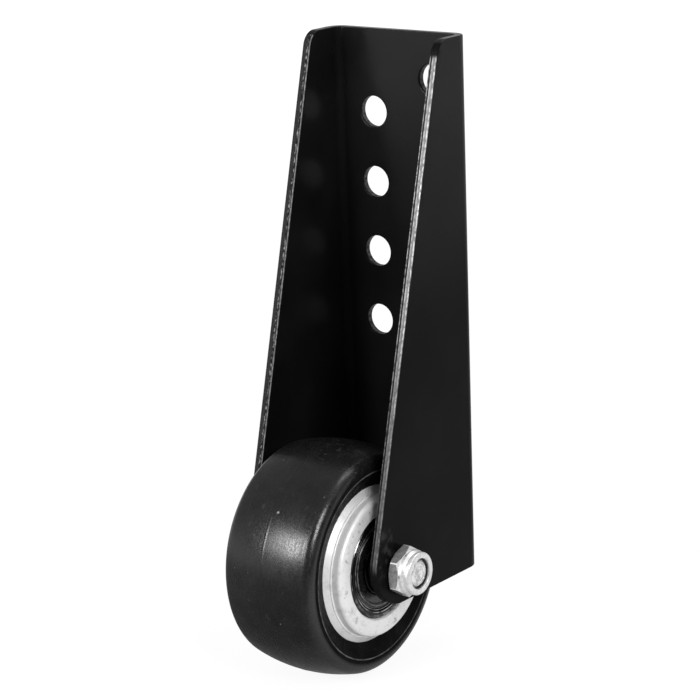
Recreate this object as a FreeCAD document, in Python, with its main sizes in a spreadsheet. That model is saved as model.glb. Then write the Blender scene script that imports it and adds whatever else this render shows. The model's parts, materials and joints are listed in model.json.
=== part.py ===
"""Gate wheel: a wheel on two ball bearings, carried by a folded sheet-steel channel that bolts to a gate.

Millimetres. X runs along the axle, +Y points at the gate and +Z is up. The origin is the middle of the
channel's back face, which lies against the gate.
"""
import FreeCAD
import Part
import math
import os
import re
import Sketcher

Vector = FreeCAD.Vector

SIZES = (
    ("web_height", 190, "height of the channel's web"),
    ("channel_width", 56.8, "outside width of the channel"),
    ("sheet_thickness", 3, "steel sheet of the channel"),
    ("bend_radius", 2.5, "inside radius of both folds"),
    ("flange_top_depth", 18, "depth of a flange at its top, from the back face"),
    ("flange_reach", 17.3, "flange in front of the axle at its foot, without the rounded end"),
    ("corner_radius", 6, "rounding of a flange's top front corner"),
    ("end_radius", 14.5, "rounding of a flange's lower end"),
    ("axle_height", 12.3, "axle above the web's lower edge"),
    ("web_gap", 5.1, "gap between the wheel and the web"),
    ("trim_margin", 4, "stock beyond the outline, cut away"),
    ("hole_diameter", 11, "fixing holes in the web"),
    ("hole_pitch", 25, "from one fixing hole to the next in a column"),
    ("hole_rows", 4, "fixing holes in a column"),
    ("column_spacing", 25.3, "between the two columns of fixing holes"),
    ("column_shift", 1.85, "both columns to the right of the web's middle"),
    ("first_drop", 16.4, "highest fixing hole below the web's top"),
    ("column_stagger", 12.85, "left column of holes below the right one"),
    ("bolt_diameter", 10, "axle bolt"),
    ("bolt_clearance", 0.25, "gap round the bolt in a flange"),
    ("head_width", 16, "bolt head across its flats"),
    ("head_height", 6.4, "bolt head"),
    ("bolt_inset", 0.4, "bolt end below the nut's collar"),
    ("end_chamfer", 0.9, "chamfer on the bolt's end"),
    ("end_dome", 0.4, "height of the bolt end's dome"),
    ("nut_width", 16, "lock nut across its flats"),
    ("nut_height", 8.8, "lock nut with its collar"),
    ("nut_hex_height", 6.2, "hexagon of the lock nut"),
    ("nut_turn", 3, "lock nut turned from points up, in degrees"),
    ("foot_inset", 1.8, "chamfer circle at the nut's foot, inside its flats"),
    ("collar_step", 0.5, "collar inside the nut's flats"),
    ("collar_rim", 1.5, "height of the collar's rim, above its neck"),
    ("neck_depth", 0.35, "neck below the collar's rim"),
    ("collar_round", 0.9, "rounding of the collar's outer edge"),
    ("collar_lip", 0.9, "rolled lip over the insert"),
    ("lip_gap", 0.4, "lip round the bolt"),
    ("insert_wall", 1.9, "radial wall of the nut's insert"),
    ("thread_gap", 0.05, "gap between bolt and nut, for the thread"),
    ("hex_inset", 0.4, "chamfer circle of a hexagon, inside its flats"),
    ("hub_side_gap", 3.9, "gap between the hub's boss and a flange"),
    ("boss_projection", 5.3, "boss beyond the rim's face"),
    ("boss_wall", 6.4, "boss round the bearing"),
    ("boss_taper", 0.2, "boss wider at its foot"),
    ("boss_round", 0.8, "rounding of the boss's edge"),
    ("foot_width", 0.6, "step at the boss's foot"),
    ("foot_height", 0.4, "height of that step"),
    ("rim_rise", 1.5, "rim's face higher at the boss than at its edge"),
    ("rim_face", 2.8, "rim's face, from the boss's edge outwards"),
    ("rim_lip", 3, "thickness of the rim that shows"),
    ("core_step", 1.6, "hub's core below the rim, which keys the tread"),
    ("seat_chamfer", 0.55, "chamfer at the bearing seat's mouth"),
    ("seat_shoulder", 2, "shoulder behind the bearing"),
    ("seat_clearance", 0.02, "gap of a seated ring or sleeve"),
    ("wheel_diameter", 82, "wheel over its tread"),
    ("tread_overhang", 2.5, "tread's side beyond the rim's face"),
    ("crown_drop", 3, "tread lower at its sides than in the middle"),
    ("shoulder_radius", 3.8, "rounding of the tread's shoulders"),
    ("side_flat", 0.9, "least flat between the tread's shoulder and its dished ring"),
    ("bearing_bore", 12, "bore of a bearing"),
    ("bearing_outside", 37, "outside diameter of a bearing"),
    ("bearing_width", 12, "width of a bearing"),
    ("bearing_recess", 0.3, "bearing below the boss's face"),
    ("ring_chamfer", 0.6, "chamfer of a bearing ring's corners"),
    ("ball_diameter", 7.14, "balls of a bearing"),
    ("ball_count", 7, "balls in a bearing"),
    ("ball_clearance", 0.05, "gap between a ball and its groove"),
    ("groove_depth", 1.3, "ball groove below a ring's shoulder"),
    ("groove_ease", 0.1, "groove's radius over the ball's"),
    ("cage_sheet", 0.5, "sheet of one half of a ball cage"),
    ("cage_clearance", 0.15, "gap round a ball in its cage"),
    ("cage_band", 2.8, "radial width of a ball cage"),
    ("cage_side_gap", 0.4, "gap between a cage and a seal"),
    ("seal_inset", 0.25, "seal below the ring's face"),
    ("seal_thickness", 0.95, "seal at its bead"),
    ("seal_dish", 0.45, "seal's middle below its bead"),
    ("seal_bead", 2.1, "radial width of the seal's bead"),
    ("seal_seat", 1.5, "seal's step in the outer ring"),
    ("seal_gap", 0.25, "gap between a seal's edge and the inner ring"),
    ("spacer_wall", 2.6, "radial wall of a spacer ring"),
    ("sleeve_clearance", 0.1, "gap between the sleeve and the bolt"),
)

# Places that follow from the sizes, along the axle from the wheel's middle and outwards from the axle
FLANGE_OUT = "(channel_width / 2)"
FLANGE_IN = f"({FLANGE_OUT} - sheet_thickness)"
HUB_FACE = f"({FLANGE_IN} - hub_side_gap)"
RIM_FACE = f"({HUB_FACE} - boss_projection)"
TREAD_SIDE = f"({RIM_FACE} + tread_overhang)"
BEARING_FACE = f"({HUB_FACE} - bearing_recess)"
BEARING_BACK = f"({BEARING_FACE} - bearing_width)"
BEARING_MID = f"({BEARING_FACE} - bearing_width / 2)"
NUT_END = f"({FLANGE_OUT} + nut_height)"
BOLT_END = f"({NUT_END} - bolt_inset)"
BOLT_RADIUS = "(bolt_diameter / 2)"
BEARING_RADIUS = "(bearing_outside / 2)"
BOSS_RADIUS = f"({BEARING_RADIUS} + boss_wall)"
RIM_RADIUS = f"({BOSS_RADIUS} + rim_face)"
CORE_RADIUS = f"({RIM_RADIUS} - core_step)"
WHEEL_RADIUS = "(wheel_diameter / 2)"
PITCH_RADIUS = "((bearing_bore + bearing_outside) / 4)"
BALL_RADIUS = "(ball_diameter / 2)"
INNER_SHOULDER = f"({PITCH_RADIUS} - {BALL_RADIUS} - ball_clearance + groove_depth)"
OUTER_SHOULDER = f"({PITCH_RADIUS} + {BALL_RADIUS} + ball_clearance - groove_depth)"
SLEEVE_RADIUS = "(bearing_bore / 2 - seat_clearance)"

# The axle's place in the channel: behind the back face, and above the web's lower edge
AXLE_DEPTH = f"(sheet_thickness + web_gap + {WHEEL_RADIUS})"
FLANGE_FOOT = f"({AXLE_DEPTH} + flange_reach)"
FOLD_RADIUS = "(bend_radius + sheet_thickness)"
WEB_FOOT = "(-web_height / 2)"

SIDES = (("left", -1), ("right", 1))

doc = FreeCAD.newDocument("gate_wheel")
sheet = doc.addObject("Spreadsheet::Sheet", "Dimensions")
probe = doc.addObject("App::FeaturePython", "Probe")
probe.addProperty("App::PropertyFloat", "Value")
parts = []


def fill_sheet():
    """Writes each driving size to a row of its own: name, value and meaning."""
    for row, (alias, value, meaning) in enumerate(SIZES, 1):
        sheet.set(f"A{row}", alias)
        sheet.set(f"B{row}", str(value))
        sheet.setAlias(f"B{row}", alias)
        sheet.set(f"C{row}", meaning)
    doc.recompute()


def cells(text):
    """The expression with each size's name pointed at the sheet: every size's name has an underscore."""
    return re.sub(r"\b([a-z]+(?:_[a-z]+)+)\b", r"Dimensions.\1", text)


def bind(item, place, text):
    item.setExpression(place, cells(text))


def number(text):
    """The expression's value now, for starting positions and for finding edges."""
    bind(probe, "Value", text)
    probe.recompute()
    return probe.Value


def add_body(label):
    body = doc.addObject("PartDesign::Body", label)
    body.Label = label
    parts.append(body)
    return body


def put_on_axle(item, along="0"):
    """Places a piece that is modelled round the X axis on the axle."""
    bind(item, "Placement.Base.x", along)
    bind(item, "Placement.Base.y", f"-{AXLE_DEPTH}")
    bind(item, "Placement.Base.z", f"axle_height + {WEB_FOOT}")


def add_sketch(body, name, role):
    sketch = body.newObject("Sketcher::SketchObject", name)
    plane = [item for item in body.Origin.OriginFeatures if item.Role == role][0]
    sketch.AttachmentSupport = [(plane, "")]
    sketch.MapMode = "FlatFace"
    return sketch


def fix_point(sketch, line, end, place):
    """Holds a point of the sketch at the two expressions of its place, measured from the origin."""
    for kind, text in zip(("DistanceX", "DistanceY"), place):
        rule = Sketcher.Constraint(kind, -1, 1, line, end, number(text))
        bind(sketch, f"Constraints[{sketch.addConstraint(rule)}]", text)


def fix_radius(sketch, line, text):
    rule = Sketcher.Constraint("Radius", line, number(text))
    bind(sketch, f"Constraints[{sketch.addConstraint(rule)}]", text)


def arc_between(start, end, radius):
    """The short arc from start to end that turns to the left, with its middle to the left of that way."""
    half = (end - start) * 0.5
    reach = math.sqrt(max(radius ** 2 - half.Length ** 2, 0))
    left = Vector(-half.y, half.x, 0).normalize()
    middle = start + half + left * reach
    first = math.atan2(start.y - middle.y, start.x - middle.x)
    last = math.atan2(end.y - middle.y, end.x - middle.x)
    return Part.ArcOfCircle(Part.Circle(middle, Vector(0, 0, 1), radius), first, last)


def draw(sketch, corners, arcs=None):
    """Draws a closed outline through the corners. arcs maps a corner's number to the radius of the
    arc that leaves it: the arc's middle is on its right, or on its left where the radius has a minus sign."""
    arcs = arcs or {}
    places = [Vector(number(x), number(y), 0) for x, y in corners]
    ends = []
    for index, start in enumerate(places):
        end = places[(index + 1) % len(places)]
        if index not in arcs:
            ends.append((sketch.addGeometry(Part.LineSegment(start, end)), 1, 2))
            continue
        to_left = arcs[index].startswith("-")
        radius = arcs[index].lstrip("-")
        ways = (start, end) if to_left else (end, start)
        line = sketch.addGeometry(arc_between(*ways, number(radius)))
        fix_radius(sketch, line, radius)
        ends.append((line, 1, 2) if to_left else (line, 2, 1))
    for (line, _, last), (after, first, _) in zip(ends, ends[1:] + ends[:1]):
        sketch.addConstraint(Sketcher.Constraint("Coincident", line, last, after, first))
    for (line, first, _), place in zip(ends, corners):
        fix_point(sketch, line, first, place)


def turn(body, name, corners, arcs=None, kind="Revolution"):
    """Turns an outline, drawn along the axle and outwards from it, into a round solid or a groove."""
    sketch = add_sketch(body, f"{name}Outline", "XY_Plane")
    draw(sketch, corners, arcs)
    feature = body.newObject(f"PartDesign::{kind}", name)
    feature.Profile = sketch
    feature.ReferenceAxis = (sketch, ["H_Axis"])
    feature.Angle = 360
    doc.recompute()
    return feature


def cut_through(body, name, sketch):
    """Cuts the sketch right through the body, both ways."""
    pocket = body.newObject("PartDesign::Pocket", name)
    pocket.Profile = sketch
    pocket.Type = "ThroughAll"
    pocket.SideType = "Symmetric"
    doc.recompute()
    return pocket


def round_edges(body, name, edges, radius):
    solid = body.Tip
    fillet = body.newObject("PartDesign::Fillet", name)
    fillet.Base = (solid, edges)
    bind(fillet, "Radius", radius)
    doc.recompute()
    return fillet


def circle_edges(body, along, radius):
    """Names of the circular edges at this distance along the axle, on either side, and of this radius."""
    names = []
    for index, edge in enumerate(body.Tip.Shape.Edges, 1):
        curve = edge.Curve
        if not isinstance(curve, Part.Circle):
            continue
        off = abs(abs(curve.Center.x) - number(along)) + abs(curve.Radius - number(radius))
        if off < 1e-4:
            names.append(f"Edge{index}")
    return names


def straight_edges(body, axis, place):
    """Names of the straight edges along X or Z at this place in the other two axes, X on either side."""
    names = []
    for index, edge in enumerate(body.Tip.Shape.Edges, 1):
        if not isinstance(edge.Curve, Part.Line):
            continue
        middle = edge.CenterOfMass
        seen = {"x": (middle.y, middle.z), "z": (abs(middle.x), middle.y)}[axis]
        along = abs(getattr(edge.Curve.Direction, axis)) > 0.999
        if along and math.dist(seen, [number(text) for text in place]) < 1e-4:
            names.append(f"Edge{index}")
    return names


def both_sides(corners):
    """An outline's right half, from the inside out, and then its mirror image back to the start."""
    return list(corners) + [(f"-({x})", y) for x, y in reversed(corners)]


def fold_channel(body):
    """The U of the folded sheet, higher and deeper than the finished bracket."""
    sketch = add_sketch(body, "ChannelSection", "XY_Plane")
    front = f"-({FLANGE_FOOT} + trim_margin / 2)"
    half = [(FLANGE_OUT, "0"), (FLANGE_OUT, front), (FLANGE_IN, front), (FLANGE_IN, "-sheet_thickness")]
    draw(sketch, both_sides(half))
    pad = body.newObject("PartDesign::Pad", "Channel")
    pad.Profile = sketch
    pad.SideType = "Two sides"
    bind(pad, "Length", "web_height + trim_margin / 2")
    bind(pad, "Length2", "trim_margin / 2")
    doc.recompute()
    outside = straight_edges(body, "z", (FLANGE_OUT, "0"))
    round_edges(body, "FoldOutside", outside, FOLD_RADIUS)
    inside = straight_edges(body, "z", (FLANGE_IN, "-sheet_thickness"))
    round_edges(body, "FoldInside", inside, "bend_radius")


def trim_flanges(body):
    """Trims the channel to its side view: a square lower edge, a sloped front edge and two rounded corners."""
    sketch = add_sketch(body, "SideView", "YZ_Plane")
    low, high = "-trim_margin", "web_height + trim_margin"
    front = f"-({FLANGE_FOOT} + trim_margin)"
    draw(sketch, [("2 * trim_margin", low), ("2 * trim_margin", high), (front, high), (front, low)])
    toe = (f"-{FLANGE_FOOT}", "0")
    crest = ("-flange_top_depth", "web_height")
    draw(sketch, [("trim_margin", "0"), toe, crest, ("trim_margin", "web_height")])
    cut_through(body, "Trim", sketch)
    round_edges(body, "FlangeEnds", straight_edges(body, "x", toe), "end_radius")
    round_edges(body, "FlangeCorners", straight_edges(body, "x", crest), "corner_radius")


def punch_fixing_holes(body):
    """Two columns of holes in the web, one half a pitch below the other, to set the height finely."""
    sketch = add_sketch(body, "FixingHoles", "XZ_Plane")
    columns = (("column_shift - column_spacing / 2", "web_height - first_drop - column_stagger"),
               ("column_shift + column_spacing / 2", "web_height - first_drop"))
    for place in columns:
        middle = Vector(number(place[0]), number(place[1]), 0)
        hole = sketch.addGeometry(Part.Circle(middle, Vector(0, 0, 1), number("hole_diameter / 2")))
        fix_point(sketch, hole, 3, place)
        fix_radius(sketch, hole, "hole_diameter / 2")
    first = cut_through(body, "FixingRow", sketch)
    rows = body.newObject("PartDesign::LinearPattern", "FixingRows")
    rows.Originals = [first]
    rows.Direction = (sketch, ["V_Axis"])
    rows.Reversed = True
    bind(rows, "Length", "hole_pitch * (hole_rows - 1)")
    bind(rows, "Occurrences", "hole_rows")
    body.Tip = rows
    doc.recompute()


def drill_axle_holes(body):
    sketch = add_sketch(body, "AxleHole", "YZ_Plane")
    place = (f"-{AXLE_DEPTH}", "axle_height")
    middle = Vector(number(place[0]), number(place[1]), 0)
    radius = f"{BOLT_RADIUS} + bolt_clearance"
    hole = sketch.addGeometry(Part.Circle(middle, Vector(0, 0, 1), number(radius)))
    fix_point(sketch, hole, 3, place)
    fix_radius(sketch, hole, radius)
    cut_through(body, "AxleHoles", sketch)


def make_bracket():
    """One folded sheet, modelled upwards from the web's lower edge."""
    body = add_body("bracket")
    fold_channel(body)
    trim_flanges(body)
    punch_fixing_holes(body)
    drill_axle_holes(body)
    bind(body, "Placement.Base.z", WEB_FOOT)


def add_hexagon(body, name, face, height, width, outward, turned="0"):
    """A hexagon on a flange's face, standing out to the side that outward gives. turned: from points up."""
    sketch = add_sketch(body, f"{name}Flats", "YZ_Plane")
    bind(sketch, "AttachmentOffset.Base.z", face)
    peak = f"{width} / sqrt(3)"
    angles = [f"(({turned} + {30 + 60 * corner}) * 1 deg)" for corner in range(6)]
    draw(sketch, [(f"{peak} * cos{angle}", f"{peak} * sin{angle}") for angle in angles])
    pad = body.newObject("PartDesign::Pad", name)
    pad.Profile = sketch
    pad.Reversed = outward < 0
    bind(pad, "Length", height)
    doc.recompute()


def chamfer_hexagon(body, name, face, width, outward, inset="hex_inset"):
    """Turns the hexagon's points down to a circle at one face, at 30 degrees."""
    circle = f"({width} / 2 - {inset})"
    beyond = f"({width} / sqrt(3) + {inset})"
    depth = f"({beyond} - {circle}) * tan(30 deg)"
    into = f"{face} - {depth}" if outward > 0 else f"{face} + {depth}"
    turn(body, name, [(face, circle), (into, beyond), (face, beyond)], kind="Groove")


def make_bolt():
    body = add_body("axle_bolt")
    under = f"-{FLANGE_OUT}"
    add_hexagon(body, "Head", under, "head_height", "head_width", -1)
    chamfer_hexagon(body, "HeadChamfer", f"{under} - head_height", "head_width", -1)
    tip = f"({BOLT_RADIUS} - end_chamfer)"
    dome = f"({tip} * {tip} + end_dome * end_dome) / (2 * end_dome)"
    shank = [(f"{under} - head_height / 2", "0"), (f"{under} - head_height / 2", BOLT_RADIUS),
             (f"{BOLT_END} - end_dome - end_chamfer", BOLT_RADIUS), (f"{BOLT_END} - end_dome", tip),
             (BOLT_END, "0")]
    turn(body, "Shank", shank, {3: dome})
    put_on_axle(body)


def make_nut():
    """Lock nut: hexagon, rounded collar, and a bore with a pocket for the insert under the rolled lip."""
    body = add_body("lock_nut")
    top = f"({FLANGE_OUT} + nut_hex_height)"
    collar = "(nut_width / 2 - collar_step)"
    bore = f"({BOLT_RADIUS} + thread_gap)"
    pocket = f"({BOLT_RADIUS} + insert_wall)"
    mouth = f"({BOLT_RADIUS} + lip_gap)"
    add_hexagon(body, "Hexagon", FLANGE_OUT, "nut_hex_height", "nut_width", 1, "nut_turn")
    chamfer_hexagon(body, "HexagonFoot", FLANGE_OUT, "nut_width", -1, "foot_inset")
    chamfer_hexagon(body, "HexagonTop", top, "nut_width", 1)
    middle = f"({FLANGE_OUT} + nut_hex_height / 2)"
    neck, rim = f"({collar} - neck_depth)", f"({NUT_END} - collar_rim)"
    turn(body, "Collar", [(middle, bore), (middle, neck), (rim, neck), (rim, collar), (NUT_END, collar),
                          (NUT_END, bore)])
    start, end = f"({FLANGE_OUT} - thread_gap)", f"({NUT_END} + thread_gap)"
    under_lip = f"({NUT_END} - collar_lip)"
    turn(body, "Bore", [(start, "0"), (start, bore), (top, bore), (top, pocket), (under_lip, pocket),
                        (under_lip, mouth), (end, mouth), (end, "0")], kind="Groove")
    round_edges(body, "CollarRound", circle_edges(body, NUT_END, collar), "collar_round")
    put_on_axle(body)
    insert = add_body("lock_nut_insert")
    outside = f"({pocket} - seat_clearance)"
    turn(insert, "Ring", [(top, bore), (top, outside), (under_lip, outside), (under_lip, bore)])
    put_on_axle(insert)


def make_tube(label, start, end, inside, outside, along="0"):
    body = add_body(label)
    turn(body, "Tube", [(start, inside), (start, outside), (end, outside), (end, inside)])
    put_on_axle(body, along)


def make_axle_tubes():
    """The sleeve that the flanges clamp, and what keeps the inner rings in place along it."""
    inside = f"{BOLT_RADIUS} + sleeve_clearance"
    make_tube("axle_sleeve", f"-{FLANGE_IN}", FLANGE_IN, inside, SLEEVE_RADIUS)
    bore = "bearing_bore / 2"
    outside = f"{bore} + spacer_wall"
    make_tube("right_spacer", BEARING_FACE, FLANGE_IN, bore, outside)
    make_tube("left_spacer", f"-{FLANGE_IN}", f"-{BEARING_FACE}", bore, outside)
    make_tube("bearing_spacer", f"-{BEARING_BACK}", BEARING_BACK, bore, outside)


def make_hub():
    """Wheel centre: two bearing seats, a raised boss each side, and a waisted rim that keys the tread."""
    body = add_body("hub")
    seat = f"({BEARING_RADIUS} + seat_clearance)"
    shoulder = f"({BEARING_RADIUS} - seat_shoulder)"
    foot = f"({BOSS_RADIUS} + boss_taper)"
    top = f"({RIM_FACE} + rim_rise)"
    step = f"({top} + foot_height)"
    half = [(BEARING_BACK, shoulder), (BEARING_BACK, seat), (f"{HUB_FACE} - seat_chamfer", seat),
            (HUB_FACE, f"{seat} + seat_chamfer"), (HUB_FACE, BOSS_RADIUS), (step, foot),
            (step, f"{foot} + foot_width"), (top, f"{foot} + foot_width"), (RIM_FACE, RIM_RADIUS),
            (f"{RIM_FACE} - rim_lip", RIM_RADIUS), (f"{RIM_FACE} - rim_lip", CORE_RADIUS)]
    turn(body, "Core", both_sides(half))
    round_edges(body, "BossRound", circle_edges(body, HUB_FACE, BOSS_RADIUS), "boss_round")
    put_on_axle(body)


def make_tread():
    """Moulded tyre: a crowned running face, round shoulders, and a dished ring down to the rim."""
    body = add_body("tread")
    edge = f"({WHEEL_RADIUS} - crown_drop)"
    lip = f"({edge} - shoulder_radius - side_flat)"
    crown = f"(({TREAD_SIDE} * {TREAD_SIDE} + crown_drop * crown_drop) / (2 * crown_drop))"
    half = [(f"{RIM_FACE} - rim_lip", CORE_RADIUS), (f"{RIM_FACE} - rim_lip", RIM_RADIUS),
            (RIM_FACE, RIM_RADIUS), (TREAD_SIDE, lip), (TREAD_SIDE, edge)]
    turn(body, "Tyre", both_sides(half), {len(half) - 1: f"-{crown}"})
    round_edges(body, "Shoulders", circle_edges(body, TREAD_SIDE, edge), "shoulder_radius")
    put_on_axle(body)


def make_inner_ring(label, along):
    body = add_body(label)
    half_width, bore = "(bearing_width / 2)", "(bearing_bore / 2)"
    groove = f"({BALL_RADIUS} + groove_ease)"
    low = f"({PITCH_RADIUS} - {BALL_RADIUS} - ball_clearance)"
    reach = f"sqrt(pow({groove}; 2) - pow({low} + {groove} - {INNER_SHOULDER}; 2))"
    half = [(f"{half_width} - ring_chamfer", bore), (half_width, f"{bore} + ring_chamfer"),
            (half_width, INNER_SHOULDER), (reach, INNER_SHOULDER)]
    turn(body, "Race", both_sides(half), {len(half) - 1: groove})
    put_on_axle(body, along)


def make_outer_ring(label, along):
    """Outer ring: a ball groove between two shoulders, and a step at each side that holds a seal."""
    body = add_body(label)
    half_width = "(bearing_width / 2)"
    groove = f"({BALL_RADIUS} + groove_ease)"
    high = f"({PITCH_RADIUS} + {BALL_RADIUS} + ball_clearance)"
    reach = f"sqrt(pow({groove}; 2) - pow({high} - {groove} - {OUTER_SHOULDER}; 2))"
    step = f"({half_width} - seal_inset - seal_thickness)"
    half = [(f"{half_width} - ring_chamfer", BEARING_RADIUS),
            (half_width, f"{BEARING_RADIUS} - ring_chamfer"),
            (half_width, f"{OUTER_SHOULDER} + seal_seat"), (step, f"{OUTER_SHOULDER} + seal_seat"),
            (step, OUTER_SHOULDER), (reach, OUTER_SHOULDER)]
    turn(body, "Race", both_sides(half), {len(half) - 1: f"-{groove}"})
    put_on_axle(body, along)


def make_seal(label, along, outward):
    """Seal: a raised bead in the outer ring's step, and a dished disc that stops short of the inner ring."""
    body = add_body(label)
    face = "(bearing_width / 2 - seal_inset)"
    back = f"({face} - seal_thickness)"
    edge = f"({OUTER_SHOULDER} + seal_seat - seat_clearance)"
    bead = f"({edge} - seal_bead)"
    dish = f"({face} - seal_dish)"
    lip = f"({INNER_SHOULDER} + seal_gap)"
    corners = [(back, lip), (dish, lip), (dish, f"{bead} - seal_dish"), (face, bead), (face, edge),
               (back, edge)]
    if outward < 0:
        corners = [(f"-({x})", y) for x, y in reversed(corners)]
    turn(body, "Disc", corners)
    put_on_axle(body, along)


def make_balls(label, along):
    """A ring of balls, one group of separate solids."""
    balls = []
    for index in range(round(number("ball_count"))):
        ball = doc.addObject("Part::Sphere", f"{label}Ball{index}")
        angle = f"(360 deg * {index} / ball_count)"
        bind(ball, "Radius", BALL_RADIUS)
        bind(ball, "Placement.Base.y", f"{PITCH_RADIUS} * cos{angle}")
        bind(ball, "Placement.Base.z", f"{PITCH_RADIUS} * sin{angle}")
        balls.append(ball)
    group = doc.addObject("Part::Compound", label)
    group.Label = label
    group.Links = balls
    put_on_axle(group, along)
    parts.append(group)


def repeat_round(body, name, kind, radius):
    """A sphere at the first ball's place, added or cut away, repeated for every ball."""
    sphere = body.newObject(f"PartDesign::{kind}Sphere", name)
    bind(sphere, "Radius", radius)
    bind(sphere, "Placement.Base.y", PITCH_RADIUS)
    doc.recompute()
    ring = body.newObject("PartDesign::PolarPattern", f"{name}Ring")
    ring.Originals = [sphere]
    ring.Axis = ([item for item in body.Origin.OriginFeatures if item.Role == "X_Axis"][0], [""])
    ring.Angle = 360
    bind(ring, "Occurrences", "ball_count")
    body.Tip = ring
    doc.recompute()


def make_cage(label, along):
    """Ball cage of two pressed halves: a flat ring with a round cup at every ball."""
    body = add_body(label)
    low, high = f"({PITCH_RADIUS} - cage_band / 2)", f"({PITCH_RADIUS} + cage_band / 2)"
    pocket = f"({BALL_RADIUS} + cage_clearance)"
    cup = f"({pocket} + cage_sheet)"
    turn(body, "Ring", [("-cage_sheet", low), ("-cage_sheet", high), ("cage_sheet", high),
                        ("cage_sheet", low)])
    repeat_round(body, "Cup", "Additive", cup)
    room = "(bearing_width / 2 - seal_inset - seal_thickness - cage_side_gap)"
    far, out = f"({cup} + {room})", f"({high} + {cup})"
    sketch = add_sketch(body, "BandOutline", "XY_Plane")
    draw(sketch, [(f"-{far}", "0"), (f"-{far}", out), (far, out), (far, "0")])
    draw(sketch, [(f"-{room}", low), (f"-{room}", high), (room, high), (room, low)])
    band = body.newObject("PartDesign::Groove", "Band")
    band.Profile = sketch
    band.ReferenceAxis = (sketch, ["H_Axis"])
    band.Angle = 360
    doc.recompute()
    repeat_round(body, "Pocket", "Subtractive", pocket)
    put_on_axle(body, along)


def make_bearing(side, sign):
    along = f"{BEARING_MID}" if sign > 0 else f"-{BEARING_MID}"
    make_inner_ring(f"{side}_inner_ring", along)
    make_outer_ring(f"{side}_outer_ring", along)
    make_balls(f"{side}_balls", along)
    make_cage(f"{side}_cage", along)
    make_seal(f"{side}_outer_seal", along, sign)
    make_seal(f"{side}_inner_seal", along, -sign)


def check_and_write():
    """Stops on any failed object or bad solid, then writes one file for each piece."""
    doc.recompute()
    failed = [item.Label for item in doc.Objects if {"Invalid", "Error"} & set(item.State)]
    failed += [part.Label for part in parts if part.Shape.isNull() or not part.Shape.isValid()]
    if failed:
        raise RuntimeError(f"failed: {failed}")
    os.makedirs("parts", exist_ok=True)
    for part in parts:
        part.Shape.exportStep(f"parts/{part.Label}.step")
        print(f"{part.Label}: {part.Shape.Volume:.1f} mm3 in {len(part.Shape.Solids)} solid(s)")


fill_sheet()
make_bracket()
make_bolt()
make_nut()
make_axle_tubes()
make_hub()
make_tread()
for side_name, side_sign in SIDES:
    make_bearing(side_name, side_sign)
check_and_write()
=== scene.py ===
import bpy
import bmesh
import json
import math
from mathutils import Matrix, Vector, geometry, noise


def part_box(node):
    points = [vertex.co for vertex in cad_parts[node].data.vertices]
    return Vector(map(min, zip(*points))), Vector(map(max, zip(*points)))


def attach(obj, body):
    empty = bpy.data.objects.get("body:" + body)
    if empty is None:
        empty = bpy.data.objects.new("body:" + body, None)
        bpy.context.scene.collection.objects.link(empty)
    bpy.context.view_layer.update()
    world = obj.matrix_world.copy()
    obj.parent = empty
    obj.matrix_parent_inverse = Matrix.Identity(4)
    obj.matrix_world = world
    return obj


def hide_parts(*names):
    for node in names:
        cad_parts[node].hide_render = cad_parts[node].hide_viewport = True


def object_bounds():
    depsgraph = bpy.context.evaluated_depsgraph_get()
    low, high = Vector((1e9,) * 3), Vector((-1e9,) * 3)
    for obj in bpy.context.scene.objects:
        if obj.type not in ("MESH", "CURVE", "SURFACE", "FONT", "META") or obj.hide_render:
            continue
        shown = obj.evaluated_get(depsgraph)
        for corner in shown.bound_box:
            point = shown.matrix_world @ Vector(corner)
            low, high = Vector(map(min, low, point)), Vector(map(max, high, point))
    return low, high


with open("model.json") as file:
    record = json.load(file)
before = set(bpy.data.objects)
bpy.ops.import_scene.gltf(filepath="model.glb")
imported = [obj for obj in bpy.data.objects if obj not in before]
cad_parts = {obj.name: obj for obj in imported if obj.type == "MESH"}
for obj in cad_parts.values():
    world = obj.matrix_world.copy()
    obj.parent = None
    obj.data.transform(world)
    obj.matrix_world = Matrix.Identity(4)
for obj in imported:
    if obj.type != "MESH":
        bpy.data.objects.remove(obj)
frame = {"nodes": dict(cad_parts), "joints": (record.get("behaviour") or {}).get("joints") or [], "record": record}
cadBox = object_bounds()
mm = 0.001
axle = Vector(frame["joints"][0]["pos_m"])  # the wheel turns about X through here
print("frame loaded:", len(frame["nodes"]), "nodes")


# wiring for the materials; a new node goes into the tree of the socket that feeds it

middle = (0.3, 0.7)  # where most of a cloud's values lie
socketNames = {
    "colour": "Base Color",
    "roughness": "Roughness",
    "metallic": "Metallic",
    "specular": "Specular IOR Level",
}


def grey(level):
    return level, level, level, 1


def wire(socket, value):
    if isinstance(value, bpy.types.NodeSocket):
        socket.id_data.links.new(value, socket)
    else:
        socket.default_value = value


def setSockets(shader, **values):
    for name, value in values.items():
        wire(shader.inputs[socketNames[name]], value)


def startFinish(name, **values):
    finish = bpy.data.materials.new(name)
    finish.use_nodes = True
    shader = finish.node_tree.nodes["Principled BSDF"]
    setSockets(shader, **values)
    return finish, finish.node_tree, shader


def calc(operation, first, second=0.0, kind="ShaderNodeMath", result=0):
    node = first.id_data.nodes.new(kind)
    node.operation = operation
    wire(node.inputs[0], first)
    wire(node.inputs[1], second)
    return node.outputs[result]


def vectorCalc(operation, first, second=(0, 0, 0)):
    result = "Vector" if operation in ("MULTIPLY", "SUBTRACT") else "Value"
    return calc(operation, first, second, "ShaderNodeVectorMath", result)


def times(first, second):
    return calc("MULTIPLY", first, second)


def plus(first, second):
    return calc("ADD", first, second)


def greatest(values):
    top = values[0]
    for value in values[1:]:
        top = calc("MAXIMUM", top, value)
    return top


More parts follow.
